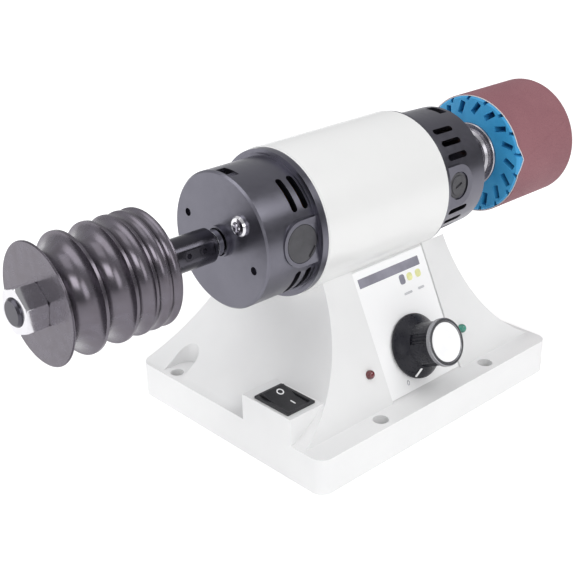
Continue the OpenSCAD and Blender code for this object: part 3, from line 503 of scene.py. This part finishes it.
def knob_bezel():
    """The knob's bright ring, with fine knurling round it."""
    ribs, per_rib, rib_depth = 96, 6, 0.16
    knurled_from = 15              # the knurling is on the profile's points outside this radius, in mm
    profile = (                    # radius, and height over the end of the knob's grip, in mm
        (11.45, 0.02), (14.7, 0.02), (15.28, 0.5), (15.28, 3.0),
        (14.7, 3.5), (13.3, 3.5), (13.0, 3.0), (11.45, 3.0),
    )
    grip_end = 24.8                # height of that end over the panel
    side = Vector((1, 0, 0))

    def build(bm):
        rings = []
        count = ribs * per_rib
        for k in range(count):
            a = 2 * math.pi * k / count
            out = side * math.cos(a) + UP_SLOPE * math.sin(a)
            rib = rib_depth * abs(math.sin(math.pi * k / per_rib))
            ring = []
            for r, h in profile:
                cut = rib if r > knurled_from else 0
                ring.append(bm.verts.new(KNOB + (out * (r - cut) + OUT * (grip_end + h)) * MM))
            rings.append(ring)
        points = len(profile)
        for k in range(count):
            for i in range(points):
                j = (i + 1) % points
                n = (k + 1) % count
                bm.faces.new((rings[k][i], rings[k][j], rings[n][j], rings[n][i]))

    made = new_piece("knurled_bezel", mesh_from("knurled_bezel", build), BEZEL, "speed_knob")
    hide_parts("knob_bezel")


NOTCH_AT = 175                             # degrees round the spindle
NOTCH_DEEP, NOTCH_HALF = 5.0, 10.8         # depth and half width, in mm
NOTCH_INSET = 1.1                          # the coat's notch is set back by its inset times this
SEAM_LEAN, SEAM_GAP = -24, 0.03            # lean over the sleeve's length, and width, in degrees
CLOTH_T, SLEEVE_T = 0.5, 0.9               # of the cloth, and of the cloth with its grit, in mm
GRIT_INSET, GRIT_SHORT = 0.45, 0.2         # how far the grit stops before the cloth's two ends, in mm


def notched_tube(bm, r0, r1, inset, x0, x1, steps=240, slices=8):
    """A tube about the spindle. Its edge at x0 has a V notch, and a fine leaning seam starts at the notch."""
    rows = []
    for s in range(slices + 1):
        row = []
        for k in range(steps + 1):
            a = math.radians(NOTCH_AT + SEAM_LEAN * s / slices + SEAM_GAP / 2 + (360 - SEAM_GAP) * k / steps)
            aside = abs(math.sin(a - math.radians(NOTCH_AT))) * r1
            facing = math.cos(a - math.radians(NOTCH_AT)) > 0
            cut = max(0, NOTCH_DEEP * (1 - aside / NOTCH_HALF)) if facing else 0
            start = x0 + max(inset, cut + inset * NOTCH_INSET if cut else 0)
            x = start + (x1 - start) * s / slices
            ends = [Vector((x, r * math.cos(a), r * math.sin(a))) for r in (r0, r1)]
            row.append([bm.verts.new(AXIS + end * MM) for end in ends])
        rows.append(row)
    for s in range(slices):
        for k in range(steps):
            a, b, c, d = rows[s][k], rows[s][k + 1], rows[s + 1][k + 1], rows[s + 1][k]
            bm.faces.new((a[1], b[1], c[1], d[1]))
            bm.faces.new((a[0], d[0], c[0], b[0]))
        for k in (0, steps):
            a, d = rows[s][k], rows[s + 1][k]
            bm.faces.new((a[0], a[1], d[1], d[0]))
    for s in (0, slices):
        for k in range(steps):
            a, b = rows[s][k], rows[s][k + 1]
            bm.faces.new((a[0], b[0], b[1], a[1]))


def sleeve():
    """The sleeve is a cloth tube with a coat of grit outside. Its ends meet at a notch in the inner edge."""
    low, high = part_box("sanding_sleeve")
    x0, x1 = (low.x - AXIS.x) / MM, (high.x - AXIS.x) / MM
    outer = (high.z - AXIS.z) / MM
    inner = outer - SLEEVE_T
    middle = inner + CLOTH_T

    def cloth(bm):
        notched_tube(bm, inner, middle, 0.0, x0, x1)

    def grit(bm):
        notched_tube(bm, middle, outer, GRIT_INSET, x0, x1 - GRIT_SHORT)

    backing = new_piece("sleeve_backing", mesh_from("sleeve_backing", cloth), CLOTH, "spindle")
    coat = new_piece("sleeve_grit", mesh_from("sleeve_grit", grit), LOOKS["abrasive"], "spindle")
    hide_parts("sanding_sleeve")
    for piece in (backing, coat):
        for face in piece.data.polygons:
            face.use_smooth = True
        piece.data.set_sharp_from_angle(angle=math.radians(40))
    round_edges(coat, width=0.1, segments=2, angle=math.radians(60))


label_prints()
rocker_marks()
knob_bezel()
sleeve()


# ---------- floor, light and camera ----------

def stage():
    """A pale floor with painted light: it glows of itself, least in front and more towards the back, for a white
    background. Its colour is also painted darker in front, a painted shade.
    """
    size, floor_z = 12.0, -0.0002

    def sheet(bm):
        down = Matrix.Translation((0, 0, floor_z))
        bmesh.ops.create_grid(bm, x_segments=1, y_segments=1, size=size, matrix=down)

    mesh = mesh_from("floor", sheet)
    floor = bpy.data.objects.new("floor", mesh)
    bpy.context.scene.collection.objects.link(floor)
    pale = Look("pale_floor", (0.85, 0.85, 0.85), 0.7, Specular_IOR_Level=0.1)
    pale.shader.inputs["Emission Color"].default_value = (1, 1, 1, 1)
    depth = pale.node("ShaderNodeSeparateXYZ", {0: pale.coords}).outputs[1]
    # painted light: the floor's own glow, weaker in front (near) and stronger towards the back (far)
    near = pale.spread(depth, 0.16, 0.38, (-0.70, -0.16))
    far = pale.spread(depth, 0.0, 0.40, (0.15, 1.4))
    pale.tree.links.new(pale.math("ADD", near, far), pale.shader.inputs["Emission Strength"])
    # painted shade: the floor's colour goes darker towards the front
    shade = pale.spread(depth, 0, 1, (-0.80, -0.20))
    pale.color((0.66, 0.66, 0.66), (0.85, 0.85, 0.85), shade)
    pale.material.cycles.emission_sampling = "NONE"
    mesh.materials.append(pale.material)


def area_light(name, place, aim, size, power):
    """A soft box at place, turned to aim."""
    lamp = bpy.data.lights.new(name, "AREA")
    lamp.shape = "RECTANGLE"
    lamp.size, lamp.size_y = size
    lamp.energy = power
    obj = bpy.data.objects.new(name, lamp)
    bpy.context.scene.collection.objects.link(obj)
    obj.location = place
    obj.rotation_euler = (Vector(aim) - Vector(place)).to_track_quat("-Z", "Y").to_euler()


def studio():
    """Soft light: a pale room that is brighter behind and to the left, and four soft boxes."""
    world = bpy.data.worlds.new("studio")
    bpy.context.scene.world = world
    world.use_nodes = True
    tree = world.node_tree
    sky = tree.nodes["Background"]
    coords = tree.nodes.new("ShaderNodeTexCoord")
    toward = tree.nodes.new("ShaderNodeVectorMath")
    toward.operation = "DOT_PRODUCT"
    toward.inputs[1].default_value = Vector((-0.55, 0.75, 0.25)).normalized()
    level = tree.nodes.new("ShaderNodeMapRange")
    for key, value in {"From Min": -0.7, "From Max": 0.8, "To Min": 0.21, "To Max": 0.74}.items():
        level.inputs[key].default_value = value
    tree.links.new(coords.outputs["Generated"], toward.inputs[0])
    tree.links.new(toward.outputs["Value"], level.inputs["Value"])
    tree.links.new(level.outputs["Result"], sky.inputs["Strength"])
    sky.inputs["Color"].default_value = (0.98, 0.985, 1.0, 1)
    target = (0, 0, 0.09)
    area_light("key", (-1.0, -1.6, 0.85), target, (0.9, 1.1), 7)
    area_light("top_left", (-1.3, 0.5, 1.3), target, (1.4, 1.0), 7)
    area_light("top", (-0.1, 0.25, 1.9), target, (1.3, 1.3), 5)
    area_light("front_top", (0.45, -1.35, 1.55), target, (1.5, 0.9), 16)


def camera():
    """Stands left of the object's front and looks down on it, with a slight roll."""
    azimuth, elevation, roll = math.radians(-42.68), math.radians(24.54), math.radians(-1.04)
    back = Vector((math.sin(azimuth) * math.cos(elevation), -math.cos(azimuth) * math.cos(elevation),
                   math.sin(elevation)))
    right = Vector((math.cos(azimuth), math.sin(azimuth), 0))
    up = back.cross(right)
    side = right * math.cos(roll) + up * math.sin(roll)
    top = up * math.cos(roll) - right * math.sin(roll)
    lens = bpy.data.cameras.new("camera")
    lens.lens, lens.sensor_width = 67.3, 36.0
    lens.clip_start, lens.clip_end = 0.01, 50
    obj = bpy.data.objects.new("camera", lens)
    bpy.context.scene.collection.objects.link(obj)
    place = Matrix.Translation((-0.4742, -0.4549, 0.3709))
    turn = Matrix((side, top, back)).transposed()
    obj.matrix_world = place @ turn.to_4x4()
    bpy.context.scene.camera = obj


stage()
studio()
camera()
bpy.context.scene.view_settings.view_transform = "Standard"
